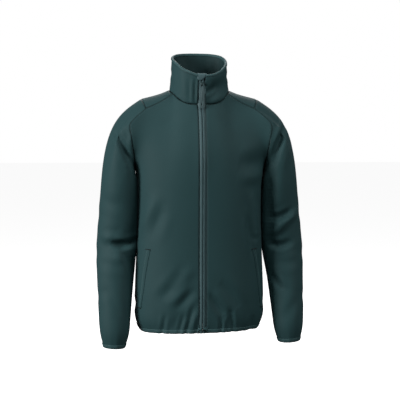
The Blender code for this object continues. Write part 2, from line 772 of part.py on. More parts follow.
def extruded(outline, step):
    """A closed mesh of a flat outline, drawn out along one step."""
    mesh = bmesh.new()
    base = mesh.faces.new([mesh.verts.new(point) for point in outline])
    grown = bmesh.ops.extrude_face_region(mesh, geom=[base], use_keep_orig=True)
    lifted = [item for item in grown["geom"] if isinstance(item, bmesh.types.BMVert)]
    bmesh.ops.translate(mesh, verts=lifted, vec=step)
    return mesh


def half_ring(pivot_y, pivot_z, radius):
    """Points of a half circle on the front side of the pivot, from its foot up."""
    turns = np.linspace(-math.pi / 2, math.pi / 2, CROWN_STEPS + 1)
    return [(pivot_y - radius * math.cos(a), pivot_z + radius * math.sin(a)) for a in turns]


def make_slider(points):
    """The slider's body, with a crown over the pull's pivot bar, all one casting."""
    width, depth, height = SLIDER_SIZE
    low, high = SLIDER_HEIGHT - height / 2, SLIDER_HEIGHT + height / 2
    back = np.interp([low, high], points[:, 2], points[:, 1]).min() - LAYER_GAP
    body_face = back - depth
    pivot_y, pivot_z = body_face - PIVOT_STAND_OFF, SLIDER_HEIGHT
    mesh = bmesh.new()
    block = bmesh.ops.create_cube(mesh, size=1.0)["verts"]
    bmesh.ops.scale(mesh, verts=block, vec=SLIDER_SIZE)
    bmesh.ops.translate(mesh, verts=block, vec=(0, (body_face + back) / 2, SLIDER_HEIGHT))
    uprights = [item for item in mesh.edges if abs(item.verts[0].co.y - item.verts[1].co.y) > MM]
    bmesh.ops.bevel(
        mesh,
        geom=uprights,
        offset=SLIDER_CORNER,
        segments=3,
        profile=0.5,
        affect="EDGES",
        material=-1,
    )
    body = finish("zip_slider", mesh, "metal")

    foot = body_face + CROWN_SINK
    outer = half_ring(pivot_y, pivot_z, CROWN_HOLE_RADIUS + CROWN_BAR)
    inner = half_ring(pivot_y, pivot_z, CROWN_HOLE_RADIUS)[::-1]
    outline = [(foot, outer[0][1]), *outer, (foot, outer[-1][1])]
    outline += [(foot, inner[0][1]), *inner, (foot, inner[-1][1])]
    loop = [(-CROWN_WIDTH / 2, y, z) for y, z in outline]
    crown = finish("crown", extruded(loop, (CROWN_WIDTH, 0, 0)), "metal")
    as_cutter(crown)
    union = body.modifiers.new("crown", "BOOLEAN")
    union.operation = "UNION"
    union.object = crown
    return pivot_y, pivot_z


def as_cutter(thing):
    thing.hide_render = True
    thing.display_type = "WIRE"


def pull_outline():
    """The tab's outline from its pivot down: half width and drop."""
    arm = PULL_WINDOW_HALF + PULL_ARM
    shoulder = (PULL_HALF_WIDTH * PULL_SHOULDER, PULL_NECK_LENGTH + PULL_SHOULDER_DROP)
    right = [(arm, -PIVOT_BAR_RADIUS), (arm, PULL_NECK_LENGTH), shoulder]
    round_centre = PULL_LENGTH - PULL_HALF_WIDTH
    for turn in np.linspace(0, math.pi / 2, PULL_END_STEPS + 1):
        across = PULL_HALF_WIDTH * math.cos(turn)
        right.append((across, round_centre + PULL_HALF_WIDTH * math.sin(turn)))
    return right + [(-x, drop) for x, drop in right[::-1][1:]]


def pull_mesh(outline, thickness):
    """An outline of half widths and drops as a slab about the pull's middle plane."""
    loop = [(x, -thickness / 2, -drop) for x, drop in outline]
    return extruded(loop, (0, thickness, 0))


def make_pull(pivot_y, pivot_z):
    """The pull: a bar through the crown, two arms beside it, and a moulded tab with a hole."""
    pull = finish("zip_pull", pull_mesh(pull_outline(), PULL_THICKNESS), "moulded")
    half, top, bottom = PULL_WINDOW_HALF, PIVOT_BAR_RADIUS, PULL_WINDOW_DROP
    window = [(-half, top), (half, top), (half, bottom), (-half, bottom)]
    half_x, half_z = PULL_HOLE
    turns = np.linspace(0, 2 * math.pi, PULL_HOLE_STEPS + 1)[:-1]
    hole = [(half_x * math.sin(a), PULL_HOLE_DROP - half_z * math.cos(a)) for a in turns]
    for name, outline in (("pull_window", window), ("pull_hole", hole)):
        cutter = finish(name, pull_mesh(outline, PULL_THICKNESS * 3), "moulded")
        cutter.location = (0, pivot_y, pivot_z)
        as_cutter(cutter)
        cut = pull.modifiers.new(name, "BOOLEAN")
        cut.operation = "DIFFERENCE"
        cut.object = cutter
    pull.location = (0, pivot_y, pivot_z)


def level_line(sheet, height):
    """A front panel's own points and normals along one level, and their distance from the zip."""
    grid, out = sheet["grid"], sheet["out"]
    row = int(np.searchsorted(grid[:, -1, 2], height, side="right")) - 1
    rise = grid[row + 1, :, 2] - grid[row, :, 2]
    share = np.clip((height - grid[row, :, 2]) / rise, 0, 1)[:, None]
    line = grid[row] + (grid[row + 1] - grid[row]) * share
    normals = out[row] + (out[row + 1] - out[row]) * share
    return line, normals, lengths_along(line)


def between(places, along, values):
    """Rows of values read at places along a line."""
    return np.stack([np.interp(places, along, column) for column in values.T], axis=1)


def make_pockets(sheets):
    """On each front, a welt beside the side pocket and the closed zip beyond it."""
    line = np.array([(x, 0.0, z) for x, z in POCKET_LINE], float) * MM
    strips = (
        ("pocket_", 0.0, POCKET_WIDTH, POCKET_WALL, "fleece"),
        ("pocket_zip_", POCKET_WIDTH + LAYER_GAP, POCKET_ZIP_WIDTH, POCKET_ZIP_WALL, "tape"),
    )
    for side in ("right", "left"):
        for name, start, width, thickness, stuff in strips:
            low, high = [], []
            for spot in evenly(line, POCKET_STEPS):
                points, normals, along = level_line(sheets["front_" + side], spot[2])
                begin = np.interp(spot[0], np.abs(points[:, 0]), along) + start
                lanes = np.linspace(begin, begin + width, POCKET_LANES)
                place = between(lanes, along, points)
                outward = between(lanes, along, normals)
                outward = outward / np.linalg.norm(outward, axis=1, keepdims=True)
                low.append(place + outward * POCKET_LIFT)
                high.append(place + outward * (POCKET_LIFT + thickness))
            wall(name + side, np.array(high), np.array(low), stuff)


clear_scene()
all_sheets = make_sheets()
share_seam_normals(all_sheets)
for sheet_name, one_sheet in all_sheets.items():
    cloth(sheet_name, one_sheet, FLEECE, "fleece")
make_collar_lining(all_sheets["collar_outer"])
make_edges(all_sheets)
zip_points = make_zip(all_sheets)
make_pull(*make_slider(zip_points))
make_pockets(all_sheets)
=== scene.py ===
"""Looks of a dark green full-zip fleece jacket with a stand collar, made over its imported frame."""

import math

import bmesh
import bpy
import numpy as np
from mathutils import Matrix, Vector
from mathutils.bvhtree import BVHTree
from mathutils.kdtree import KDTree


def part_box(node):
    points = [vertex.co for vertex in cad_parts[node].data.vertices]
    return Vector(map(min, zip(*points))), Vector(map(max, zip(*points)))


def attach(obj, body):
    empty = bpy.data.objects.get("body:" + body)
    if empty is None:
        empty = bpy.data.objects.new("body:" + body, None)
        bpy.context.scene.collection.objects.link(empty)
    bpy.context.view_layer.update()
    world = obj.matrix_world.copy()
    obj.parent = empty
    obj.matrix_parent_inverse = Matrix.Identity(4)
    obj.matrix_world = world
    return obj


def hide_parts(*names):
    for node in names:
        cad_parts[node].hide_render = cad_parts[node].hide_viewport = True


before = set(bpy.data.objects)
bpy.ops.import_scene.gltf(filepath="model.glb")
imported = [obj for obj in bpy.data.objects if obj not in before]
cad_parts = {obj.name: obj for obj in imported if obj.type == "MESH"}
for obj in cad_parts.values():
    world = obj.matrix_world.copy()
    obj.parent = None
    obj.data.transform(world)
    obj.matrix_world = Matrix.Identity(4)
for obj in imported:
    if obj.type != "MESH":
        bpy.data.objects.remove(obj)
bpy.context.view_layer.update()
MM = 0.001

# The view. The jacket is seen from the front, a few degrees from its right and from above, by a
# long lens, so that 400 pixels span 1.17 m at the jacket.
VIEW_TURN = math.radians(-5.5)
VIEW_RISE = math.radians(3.0)
VIEW_DISTANCE = 4.0
VIEW_WIDTH = 1.172
AIM = Vector((0.003, 0.0, -0.311))

toward_camera = Vector(
    (
        math.sin(VIEW_TURN) * math.cos(VIEW_RISE),
        -math.cos(VIEW_TURN) * math.cos(VIEW_RISE),
        math.sin(VIEW_RISE),
    )
)
camera = bpy.data.objects.new("camera", bpy.data.cameras.new("camera"))
camera.location = AIM + toward_camera * VIEW_DISTANCE
camera.rotation_euler = (-toward_camera).to_track_quat("-Z", "Y").to_euler()
camera.data.lens = camera.data.sensor_width * VIEW_DISTANCE / VIEW_WIDTH
bpy.context.scene.collection.objects.link(camera)
bpy.context.scene.camera = camera


# The stage. A plain white floor under a white sky, and soft lamps: a strong one far to the
# jacket's right and weaker ones to its left, above and behind. The floor glows a little, so that
# it stays pale, and it throws no light back at the jacket.
WHITE = (1.0, 1.0, 1.0, 1.0)
FLOOR_HEIGHT = -0.95
FLOOR_HALF = 30.0
FLOOR_COLOUR = (0.9, 0.9, 0.9, 1.0)
FLOOR_ROUGHNESS = 0.9
FLOOR_GLOW = 0.9
SKY_SEEN = 1.0
SKY_LIGHT = 0.06
# Columns: name, place, size (m), power (W).
LAMPS = (
    ("key", (-3.54, -1.58, 0.66), 1.3, 112),
    ("fill", (2.73, -2.13, 1.69), 1.3, 42),
    ("top", (-0.68, -1.88, 3.15), 1.6, 30),
    ("back", (0.5, 2.9, 2.2), 2.0, 60),
)


def make_floor():
    mesh = bmesh.new()
    bmesh.ops.create_grid(mesh, x_segments=1, y_segments=1, size=FLOOR_HALF)
    bmesh.ops.translate(mesh, verts=mesh.verts, vec=(0, 0, FLOOR_HEIGHT))
    data = bpy.data.meshes.new("floor")
    mesh.to_mesh(data)
    mesh.free()
    pale = bpy.data.materials.new("pale_floor")
    pale.use_nodes = True
    shader = pale.node_tree.nodes["Principled BSDF"]
    shader.inputs["Base Color"].default_value = FLOOR_COLOUR
    shader.inputs["Roughness"].default_value = FLOOR_ROUGHNESS
    shader.inputs["Emission Color"].default_value = WHITE
    shader.inputs["Emission Strength"].default_value = FLOOR_GLOW
    data.materials.append(pale)
    floor = bpy.data.objects.new("floor", data)
    floor.visible_diffuse = False
    floor.visible_glossy = False
    bpy.context.scene.collection.objects.link(floor)


def make_lamps():
    for name, place, size, power in LAMPS:
        lamp = bpy.data.lights.new(name, "AREA")
        lamp.size = size
        lamp.energy = power
        holder = bpy.data.objects.new(name, lamp)
        holder.location = place
        holder.rotation_euler = (AIM - Vector(place)).to_track_quat("-Z", "Y").to_euler()
        bpy.context.scene.collection.objects.link(holder)


def make_sky():
    """A white sky that lights the jacket less than it shows."""
    sky = bpy.data.worlds.new("sky")
    sky.use_nodes = True
    nodes = sky.node_tree.nodes
    rays = nodes.new("ShaderNodeLightPath")
    strength = nodes.new("ShaderNodeMapRange")
    strength.inputs["To Min"].default_value = SKY_LIGHT
    strength.inputs["To Max"].default_value = SKY_SEEN
    links = sky.node_tree.links
    links.new(rays.outputs["Is Camera Ray"], strength.inputs["Value"])
    links.new(strength.outputs["Result"], nodes["Background"].inputs["Strength"])
    nodes["Background"].inputs["Color"].default_value = WHITE
    bpy.context.scene.world = sky


make_floor()
make_lamps()
make_sky()
bpy.context.scene.view_settings.view_transform = "Standard"


# Fleece. A knitted polyester, brushed soft, dark bottle green. Every fleece piece is a shell two
# millimetres thick, sunk a little along its seams and marked by soft creases.
FLEECE_WALL = 2.0 * MM
FLEECE_COLOUR = (0.0200, 0.0650, 0.0700)
FLEECE_LIGHT = (0.0250, 0.0770, 0.0825)
BLACK = (0.0, 0.0, 0.0)
CLOUD_SCALE = 14
CLOUD_SHARE = 0.6
PILE_SCALE = 900
KNIT_SCALE = 420
FLEECE_BUMP = (0.25, 0.4 * MM)
# How dark the painted shade in the seams' grooves goes, and how far from a seam it reaches.
PAINTED_SEAM_SHADE = 0.55
SEAM_SHADE_WIDTH = 1.8 * MM
MERGE = 0.01 * MM
RIM_EDGE = 2.4 * MM


class Signal:
    """A shader socket. Sums and products of signals add Math nodes to their tree."""

    def __init__(self, tree, socket):
        self.tree = tree
        self.socket = socket

    def node(self, kind, settings=(), sockets=(), output=0):
        """Adds any node: its settings first, then the values or links of its sockets."""
        made = self.tree.nodes.new(kind)
        for name, value in dict(settings).items():
            setattr(made, name, value)
        for name, value in dict(sockets).items():
            if isinstance(value, Signal):
                self.tree.links.new(value.socket, made.inputs[name])
            else:
                made.inputs[name].default_value = value
        return Signal(self.tree, made.outputs[output])

    def math(self, operation, first, second):
        return self.node("ShaderNodeMath", {"operation": operation}, {0: first, 1: second})

    def __add__(self, other):
        return self.math("ADD", self, other)

    def __sub__(self, other):
        return self.math("SUBTRACT", self, other)

    def __rsub__(self, other):
        return self.math("SUBTRACT", other, self)

    def __mul__(self, other):
        return self.math("MULTIPLY", self, other)

    __radd__ = __add__
    __rmul__ = __mul__


def new_finish(name, roughness, sheen=0.0, specular=0.5):
    """A Principled material, its shader, and the signal of its Object coordinates."""
    made = bpy.data.materials.new(name)
    made.use_nodes = True
    tree = made.node_tree
    shader = tree.nodes["Principled BSDF"]
    shader.inputs["Roughness"].default_value = roughness
    shader.inputs["Specular IOR Level"].default_value = specular
    shader.inputs["Sheen Weight"].default_value = sheen
    place = tree.nodes.new("ShaderNodeTexCoord")
    return made, shader, Signal(tree, place.outputs["Object"])


def feed(shader, socket, signal):
    signal.tree.links.new(signal.socket, shader.inputs[socket])


def noise(place, scale, detail=2.0):
    sockets = {"Vector": place, "Scale": scale, "Detail": detail}
    return place.node("ShaderNodeTexNoise", {}, sockets)


def mix_colours(share, first, second):
    """A colour between two, of which the first may be a signal."""
    if not isinstance(first, Signal):
        first = (*first, 1.0)
    sockets = {"Factor": share, "A": first, "B": (*second, 1.0)}
    return share.node("ShaderNodeMix", {"data_type": "RGBA"}, sockets, output=2)


def feed_bump(shader, height, strength, depth):
    sockets = {"Height": height, "Strength": strength, "Distance": depth}
    feed(shader, "Normal", height.node("ShaderNodeBump", {}, sockets))


def fleece_finish(name, dark, light):
    """Soft cloud and pile in two greens, and painted shade where the cloth is drawn into its seams.
    """
    made, shader, place = new_finish(name, roughness=0.7, sheen=0.03, specular=0.3)
    painted_seam_shade = place.node("ShaderNodeAttribute", {"attribute_name": "painted_seam_shade"}, output=2)
    cloud = noise(place, CLOUD_SCALE, detail=3.0)
    pile = noise(place, PILE_SCALE, detail=1.0)
    knit = place.node("ShaderNodeTexVoronoi", {}, {"Vector": place, "Scale": KNIT_SCALE})
    cloth = mix_colours(cloud * CLOUD_SHARE + pile * (1 - CLOUD_SHARE), dark, light)
    # Painted shade: the colour darkens toward black along the seams, where their grooves lie in
    # shade.
    feed(shader, "Base Color", mix_colours(painted_seam_shade * PAINTED_SEAM_SHADE, cloth, BLACK))
    feed_bump(shader, (pile + knit) * 0.5, *FLEECE_BUMP)
    return made


FLEECE = fleece_finish("fleece", FLEECE_COLOUR, FLEECE_LIGHT)


def loose_skin(node):
    """The outer face of a wall node as a sheet of quads: the larger of its two faces.

    A face of the rim between the two has an edge as short as the wall is thick.
    """
    mesh = bmesh.new()
    mesh.from_mesh(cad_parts[node].data)
    bmesh.ops.remove_doubles(mesh, verts=mesh.verts, dist=MERGE)
    left = set()
    for face in mesh.faces:
        if min(edge.calc_length() for edge in face.edges) > RIM_EDGE:
            left.add(face)
    skins = []
    while left:
        stack = [left.pop()]
        skin = set(stack)
        while stack:
            for edge in stack.pop().edges:
                beside = [face for face in edge.link_faces if face in left]
                left.difference_update(beside)
                skin.update(beside)
                stack.extend(beside)
        skins.append(skin)
    largest = max(skins, key=lambda skin: sum(face.calc_area() for face in skin))
    others = [face for face in mesh.faces if face not in largest]
    bmesh.ops.delete(mesh, geom=others, context="FACES")
    bmesh.ops.join_triangles(
        mesh, faces=mesh.faces, angle_face_threshold=math.pi, angle_shape_threshold=math.pi
    )
    return mesh


def is_corner(vertex):
    return vertex.is_boundary and len(vertex.link_edges) == 2


CUT_PANELS = (
    "front_right", "front_left", "back", "shoulder_right", "shoulder_left", "collar_outer",
)


def panel_corners():
    """Where the corners of all cut panels lie, on which the seams of their neighbours turn too."""
    found = []
    for node in CUT_PANELS:
        mesh = loose_skin(node)
        found += [vertex.co.copy() for vertex in mesh.verts if is_corner(vertex)]
        mesh.free()
    return found


CORNERS = panel_corners()
CORNER_REACH = 1.2 * MM


def outer_skin(node):
    """A node's outer face, with its edge kept sharp at every panel corner that it passes."""
    mesh = loose_skin(node)
    held = mesh.verts.layers.float.new("crease_vert")
    for vertex in mesh.verts:
        at_corner = any((vertex.co - corner).length < CORNER_REACH for corner in CORNERS)
        if vertex.is_boundary and at_corner:
            vertex[held] = 1.0
    return mesh


def new_piece(name, mesh, finish, body="jacket"):
    """An object of a bmesh, smooth shaded, with its finish, that rides on a body."""
    data = bpy.data.meshes.new(name)
    mesh.to_mesh(data)
    mesh.free()
    data.shade_smooth()
    data.materials.append(finish)
    piece = bpy.data.objects.new(name, data)
    bpy.context.scene.collection.objects.link(piece)
    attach(piece, body)
    return piece


def settle(piece):
    """Applies a piece's modifiers to its mesh."""
    graph = bpy.context.evaluated_depsgraph_get()
    done = bpy.data.meshes.new_from_object(piece.evaluated_get(graph))
    piece.modifiers.clear()
    piece.data = done


def smoothed(piece, levels):
    division = piece.modifiers.new("smooth", "SUBSURF")
    division.levels = levels
    division.render_levels = levels
    division.boundary_smooth = "PRESERVE_CORNERS"
    settle(piece)


def points_of(piece):
    """A mesh's points and their normals."""
    count = len(piece.data.vertices)
    points = np.empty(count * 3)
    normals = np.empty(count * 3)
    piece.data.vertices.foreach_get("co", points)
    piece.data.vertex_normals.foreach_get("vector", normals)
    return points.reshape(-1, 3), normals.reshape(-1, 3)


def move_points(piece, points):
    piece.data.vertices.foreach_set("co", points.astype(np.float32).ravel())
    piece.data.update()


# Across each view of a crease: the axis that runs sideways in it, and the facing direction.
CREASE_VIEWS = {
    "front": (0, np.array([0.0, -1.0, 0.0])),
    "back": (0, np.array([0.0, 1.0, 0.0])),
    "right": (1, np.array([-1.0, 0.0, 0.0])),
    "left": (1, np.array([1.0, 0.0, 0.0])),
}
# The shape of a crease. Its strength at both ends and how fast that grows, the ridge on either
# side of its trough (height, place and width), and how soon it fades on cloth that turns away.
CREASE_STEPS = 25
END_STRENGTH = 0.12
END_GROWTH = 0.7
RIDGE_HEIGHT = 0.38
RIDGE_PLACE = 1.9
RIDGE_WIDTH = 0.9
FACING_GAIN = 1.6


def creased(points, normals, creases):
    """How far each point moves out by the soft troughs and ridges drawn on one view of it.

    Columns of a crease: view, start, middle, end (sideways and height, mm), depth, width (mm).
    A crease fades out to both its ends, and a trough has a low ridge on either side.
    """
    total = np.zeros(len(points))
    for view, *stops, depth, width in creases:
        sideways, facing = CREASE_VIEWS[view]
        spots = points[:, (sideways, 2)] / MM
        start, middle, end = (np.array(stop, float) for stop in stops)
        nearest = np.full(len(points), np.inf)
        place = np.zeros(len(points))
        for t in np.linspace(0, 1, CREASE_STEPS):
            stop = (1 - t) ** 2 * start + 2 * t * (1 - t) * middle + t**2 * end
            distance = np.linalg.norm(spots - stop, axis=1)
            closer = distance < nearest
            nearest[closer] = distance[closer]
            place[closer] = t
        strength = END_STRENGTH + (1 - END_STRENGTH) * np.sin(math.pi * place) ** END_GROWTH
        across = nearest / width
        ridge = RIDGE_HEIGHT * np.exp(-(((across - RIDGE_PLACE) / RIDGE_WIDTH) ** 2))
        toward = np.clip(normals @ facing * FACING_GAIN, 0, 1)
        total -= depth * MM * strength * (np.exp(-(across**2)) - ridge) * toward
    return total


def edge_distances(piece, low, high):
    """Each point's distance from the piece's own edge, of which only some heights count."""
    mesh = bmesh.new()
    mesh.from_mesh(piece.data)
    rim = [vertex for vertex in mesh.verts if vertex.is_boundary and low < vertex.co.z < high]
    tree = KDTree(len(rim))
    for number, vertex in enumerate(rim):
        tree.insert(vertex.co, number)
    tree.balance()
    found = np.array([tree.find(vertex.co)[2] for vertex in mesh.verts])
    mesh.free()
    return found


SEAM_DEPTH = 1.2 * MM
SEAM_WIDTH = 2.8 * MM
PUCKER_DEPTH = 0.5 * MM
PUCKER_REACH = 11 * MM
# Radians a metre along X, Y and Z: of the puckers, and of what makes them uneven.
PUCKER_WAVES = np.array([410.0, 290.0, 520.0])
UNEVEN_WAVES = np.array([67.0, 91.0, 53.0])
UNEVEN_SHARE = 0.4


def seamed(points, distance):
    """Draws the cloth in beside its seams, with faint uneven puckers across them."""
    ripple = np.sin(points @ PUCKER_WAVES)
    ripple *= 1 - UNEVEN_SHARE + UNEVEN_SHARE * np.sin(points @ UNEVEN_WAVES)
    pucker = PUCKER_DEPTH * ripple * np.exp(-distance / PUCKER_REACH)
    return pucker - SEAM_DEPTH * np.exp(-((distance / SEAM_WIDTH) ** 2))


def give_wall(piece, thickness):
    wall = piece.modifiers.new("wall", "SOLIDIFY")
    wall.thickness = thickness
    wall.offset = -1
    wall.use_even_offset = False


def paint_seam_shade(piece, distance):
    """Keeps how near each point is to a seam, for the painted shade along the seams in the cloth's
    finish.
    """
    painted_seam_shade = piece.data.attributes.new("painted_seam_shade", "FLOAT", "POINT")
    painted_seam_shade.data.foreach_set("value", np.exp(-((distance / SEAM_SHADE_WIDTH) ** 2)))


# Between which heights (m) a piece's edge is sewn to a neighbour: all of it above the bound hem.
SEWN_HEIGHTS = (-0.664, 1.0)


def fleece_piece(node, creases, levels=3, long_edge=None, sewn=SEWN_HEIGHTS, finish=FLEECE):
    """A fleece piece over a wall node: smoothed, creased, sewn down, and given its thickness.

    Edges longer than long_edge are cut in two first, so that creases bend them.
    """
    piece = new_piece("shell_" + node, outer_skin(node), finish)
    smoothed(piece, levels)
    if long_edge:
        mesh = bmesh.new()
        mesh.from_mesh(piece.data)
        long = [edge for edge in mesh.edges if edge.calc_length() > long_edge]
        bmesh.ops.subdivide_edges(mesh, edges=long, cuts=1, use_grid_fill=True)
        mesh.to_mesh(piece.data)
        mesh.free()
    points, normals = points_of(piece)
    out = creased(points, normals, creases)
    if sewn:
        distance = edge_distances(piece, *sewn)
        out += seamed(points, distance)
        paint_seam_shade(piece, distance)
    move_points(piece, points + normals * out[:, None])
    piece.data.shade_smooth()
    give_wall(piece, FLEECE_WALL)
    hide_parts(node)
    return piece


def edge_run(piece, low, high):
    """The run of a piece's edge inside a box (mm): its points, normals and ways off the cloth."""
    mesh = bmesh.new()
    mesh.from_mesh(piece.data)
    mesh.normal_update()
    low, high = Vector(low) * MM, Vector(high) * MM
    kept = set()
    for vertex in mesh.verts:
        if vertex.is_boundary and all(a <= c <= b for a, c, b in zip(low, vertex.co, high)):
            kept.add(vertex)

    def beside(vertex):
        around = [edge.other_vert(vertex) for edge in vertex.link_edges if edge.is_boundary]
        return [other for other in around if other in kept]

    ends = [vertex for vertex in kept if len(beside(vertex)) == 1]
    run = [min(ends or kept, key=lambda vertex: vertex.index)]
    left = kept - set(run)
    while after := [vertex for vertex in beside(run[-1]) if vertex in left]:
        run.append(min(after, key=lambda vertex: vertex.index))
        left.discard(run[-1])
    ways = []
    for vertex in run:
        inside = [edge.other_vert(vertex) for edge in vertex.link_edges if not edge.is_boundary]
        ways.append((vertex.co - inside[0].co).normalized() if inside else None)
    known = [way for way in ways if way]
    ways = [ways[0] or known[0]] + [way or known[-1] for way in ways[1:]]
    points = np.array([vertex.co[:] for vertex in run])
    normals = np.array([vertex.normal[:] for vertex in run])
    mesh.free()
    return points, normals, np.array([way[:] for way in ways])


def surface_tree(piece):
    corners = [vertex.co for vertex in piece.data.vertices]
    return BVHTree.FromPolygons(corners, [face.vertices for face in piece.data.polygons])


def inset_line(piece, low, high, distance):
    """A line on a piece's face at a distance from part of its edge, with the normals there."""
    points, _, ways = edge_run(piece, low, high)
    tree = surface_tree(piece)
    found = [tree.find_nearest(Vector(spot)) for spot in points - ways * distance]
    return np.array([hit[0] for hit in found]), np.array([hit[1] for hit in found])


def lofted(rows):
    """A sheet through rows of points, bent from a flat grid."""
    rows = np.asarray(rows, float)
    mesh = bmesh.new()
    bmesh.ops.create_grid(mesh, x_segments=len(rows) - 1, y_segments=rows.shape[1] - 1, size=1.0)
    for vertex in mesh.verts:
        row = round((vertex.co.x + 1) / 2 * (len(rows) - 1))
        column = round((vertex.co.y + 1) / 2 * (rows.shape[1] - 1))
        vertex.co = rows[row, column]
    return mesh


def lengths(points):
    """How far along a line each of its points lies."""
    return np.concatenate([[0.0], np.cumsum(np.linalg.norm(np.diff(points, axis=0), axis=1))])


# Thread. Polyester, a shade lighter than the cloth, in short stitches sunk into the pile.
THREAD_COLOUR = (0.030, 0.085, 0.092)
STITCH_PITCH = 3.3 * MM
STITCH_LENGTH = 2.7 * MM
STITCH_WIDTH = 0.75 * MM
STITCH_SINK = 0.05 * MM
STRAND_SCALE = 1500


def lighter(colour, times):
    return tuple(part * times for part in colour)


def thread_finish(name, colour):
    made, shader, place = new_finish(name, roughness=0.5, sheen=0.05)
    strands = noise(place, STRAND_SCALE, detail=1.0)
    feed(shader, "Base Color", mix_colours(strands, colour, lighter(colour, 1.5)))
    feed_bump(shader, strands, 0.2, 0.2 * MM)
    return made


THREAD = thread_finish("thread", THREAD_COLOUR)


def at_length(place, along, values):
    """The value at a length along a line, between those of its points."""
    return Vector([np.interp(place, along, values[:, axis]) for axis in range(3)])


def add_stitches(mesh, points, normals, pitch=STITCH_PITCH, length=STITCH_LENGTH):
    """Stitches end to end along a line on the cloth."""
    along = lengths(points)
    count = int(along[-1] / pitch)
    for number in range(count):
        middle = (number + 0.5) / count * along[-1]
        before = at_length(middle - pitch / 2, along, points)
        after = at_length(middle + pitch / 2, along, points)
        out = at_length(middle, along, normals).normalized()
        run = (after - before).normalized()
        side = out.cross(run).normalized()
        turned = Matrix((side * STITCH_WIDTH, out * STITCH_WIDTH, run * length)).transposed()
        spot = at_length(middle, along, points) - out * STITCH_SINK
        matrix = Matrix.Translation(spot) @ turned.to_4x4()
        bmesh.ops.create_uvsphere(mesh, u_segments=6, v_segments=3, radius=0.5, matrix=matrix)


def stitched(name, lines):
    """One piece of all the stitching on a panel. Each line: points and normals."""
    mesh = bmesh.new()
    for points, normals in lines:
        add_stitches(mesh, points, normals)
    piece = new_piece(name, mesh, THREAD)


# The trunk. Two fronts and a back of fleece, and a strip over each shoulder. It hangs filled out
# from the shoulders, with long soft diagonals above the hem and a slack facet by the left pocket.
# Columns: view, start, middle, end (sideways and height, mm), depth, width (mm).
TRUNK_CREASES = (
    ("front", (103, -199), (145, -206), (190, -188), 5.0, 22),
    ("front", (120, -238), (152, -246), (186, -226), -2.6, 16),
    ("front", (-131, -294), (-150, -340), (-168, -392), -4.0, 14),
    ("front", (-112, -330), (-132, -372), (-146, -420), 3.2, 15),
    ("front", (131, -352), (138, -400), (150, -470), 5.0, 8),
    ("front", (144, -286), (158, -350), (166, -424), -5.0, 11),
    ("front", (146, -416), (158, -424), (171, -412), 4.5, 5),
    ("front", (-54, -516), (-84, -548), (-122, -592), 5.0, 14),
    ("front", (-26, -560), (-48, -588), (-78, -620), 4.5, 11),
    ("front", (-30, -500), (-62, -536), (-96, -560), -3.2, 13),
    ("front", (18, -574), (34, -600), (60, -636), 4.4, 10),
    ("front", (48, -540), (82, -570), (104, -616), 3.4, 15),
    ("front", (-114, -692), (-112, -668), (-108, -636), 3.0, 6),
    ("front", (-67, -692), (-64, -668), (-52, -634), 3.0, 6),
    ("front", (-47, -692), (-44, -660), (-26, -612), 4.6, 7),
    ("front", (-18, -692), (-16, -668), (-14, -640), 2.8, 5),
    ("front", (53, -692), (54, -668), (50, -640), 3.0, 5),
    ("front", (68, -692), (70, -670), (76, -644), 2.6, 5),
    ("front", (85, -692), (86, -664), (80, -620), 4.6, 7),
    ("front", (142, -692), (144, -670), (152, -640), 3.4, 9),
    ("front", (-60, -70), (-86, -84), (-120, -90), 1.2, 14),
    ("front", (46, -60), (70, -82), (104, -92), 1.4, 14),
    ("back", (-150, -150), (-110, -200), (-60, -230), 2.6, 18),
    ("back", (148, -160), (104, -206), (52, -226), 2.4, 18),
    ("back", (-120, -330), (-60, -368), (-10, -366), 2.6, 17),
    ("back", (134, -352), (84, -392), (22, -398), 2.8, 17),
    ("back", (-140, -430), (-96, -470), (-40, -486), 2.0, 15),
    ("back", (130, -470), (90, -500), (44, -500), 2.2, 15),
    ("back", (-96, -690), (-90, -660), (-78, -620), 2.4, 8),
    ("back", (-30, -690), (-34, -664), (-44, -632), 2.2, 8),
    ("back", (40, -690), (44, -660), (58, -616), 2.6, 8),
    ("back", (104, -690), (108, -668), (120, -636), 2.2, 8),
    ("left", (-30, -600), (6, -628), (40, -626), 2.2, 12),
    ("left", (-10, -380), (22, -402), (50, -396), 2.2, 14),
    ("right", (-34, -590), (2, -622), (44, -616), 2.2, 12),
    ("right", (-10, -400), (20, -420), (52, -408), 2.2, 14),
)
# Where the seams that are stitched run, as boxes on one side of the jacket, and how far beside
# the seam the stitches lie. Columns: near and far off the middle, Y range, Z range, beside (mm).
FRONT_STITCHES = (
    (13, 79, -90, -30, -40, 1, 5.5),
    (81, 205, -60, -30, -84, -1, 5.5),
    (186, 208, -90, -8, -212, -92, 5.5),
    (10, 12, -140, -70, -678, -36, 3.0),
)
SHOULDER_STITCHES = ((158, 172, -46, 48, -50, 0, 5.5),)
BACK_STITCHES = ((77, 198, 30, 90, -78, 12, 5.5), (186, 202, 8, 95, -212, -82, 5.5))
NECK_BOX = (-74, 30, 11), (74, 70, 20)
NECK_STITCH = 5.5 * MM


def on_side(side, near, far, y_low, y_high, z_low, z_high):
    """A box on one side of the jacket, from its near to its far distance off the middle (mm)."""
    if side == "right":
        return (-far, y_low, z_low), (-near, y_high, z_high)
    return (near, y_low, z_low), (far, y_high, z_high)


def stitch_lines(piece, side, seams):
    return [inset_line(piece, *on_side(side, *box), beside * MM) for *box, beside in seams]


fronts = {}
for side in ("right", "left"):
    front = fleece_piece("front_" + side, TRUNK_CREASES)
    fronts[side] = front
    strip = fleece_piece("shoulder_" + side, ())
    stitched("stitching_front_" + side, stitch_lines(front, side, FRONT_STITCHES))
    stitched("stitching_shoulder_" + side, stitch_lines(strip, side, SHOULDER_STITCHES))
back = fleece_piece("back", TRUNK_CREASES)
back_lines = [inset_line(back, *NECK_BOX, NECK_STITCH)]
for side in ("right", "left"):
    back_lines += stitch_lines(back, side, BACK_STITCHES)
stitched("stitching_back", back_lines)


